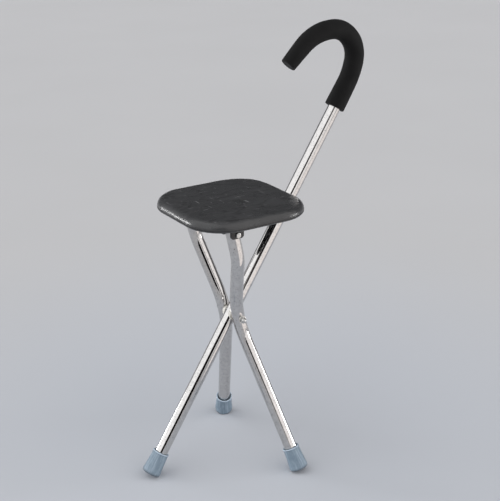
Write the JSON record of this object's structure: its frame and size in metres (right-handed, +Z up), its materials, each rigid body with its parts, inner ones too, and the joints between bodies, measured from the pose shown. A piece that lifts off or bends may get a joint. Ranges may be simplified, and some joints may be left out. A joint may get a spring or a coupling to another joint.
{
  "type": "folding seat cane",
  "caption": "Folding seat cane, open on three feet: crook-handled main tube crossed by two bent legs that carry a small rounded square seat; it folds into a straight walking cane.",
  "frame": {"origin": "middle of the model's box on the floor that the three feet stand on", "axes": "+Z up, +X towards the crook and the two legs' feet, Y across the cane along the pivot bolt; the front leg is on the -Y side"},
  "size_m": [0.448, 0.2788, 0.7463],
  "materials": {
    "polished_tube": "polished",
    "grip_foam": "matte",
    "plug_plastic": "satin",
    "foot_rubber": "matte",
    "bright_steel": "polished",
    "nylon": "satin",
    "seat_plastic": "matte",
    "bracket_plastic": "gloss"
  },
  "bodies": {
    "cane": {"main_tube": "polished_tube", "handle_grip": "grip_foam", "handle_end_plug": "plug_plastic", "main_foot": "foot_rubber", "main_foot_washer": "bright_steel", "front_spacer": "nylon", "rear_spacer": "nylon", "latch_pin": "bright_steel"},
    "legs": {"front_leg": "polished_tube", "rear_leg": "polished_tube", "front_foot": "foot_rubber", "rear_foot": "foot_rubber", "front_foot_washer": "bright_steel", "rear_foot_washer": "bright_steel", "front_leg_plug": "plug_plastic", "rear_leg_plug": "plug_plastic", "pivot_bolt": "bright_steel", "pivot_nut": "bright_steel", "pivot_washers": "bright_steel"},
    "seat": {"seat_board": "seat_plastic", "front_bracket": "bracket_plastic", "rear_bracket": "bracket_plastic", "bracket_screws": "bright_steel", "latch_hook": "bracket_plastic", "latch_screws": "bright_steel", "front_hinge_bolt": "bright_steel", "rear_hinge_bolt": "bright_steel", "hinge_nuts": "bright_steel", "hinge_washers": "nylon"}
  },
  "joints": [
    {"name": "legs_fold", "type": "hinge", "parent": "cane", "child": "legs", "pos_m": [-0.0444, 0, 0.268], "axis": [0, 1, 0], "range_deg": [0, 44]},
    {"name": "seat_fold", "type": "hinge", "parent": "legs", "child": "seat", "pos_m": [-0.08213, 0, 0.4425], "axis": [0, 1, 0], "range_deg": [-101.3, 0]}
  ],
  "couplings": [
    {"joint": "seat_fold", "follows": "legs_fold", "ratio": -2.3}
  ]
}
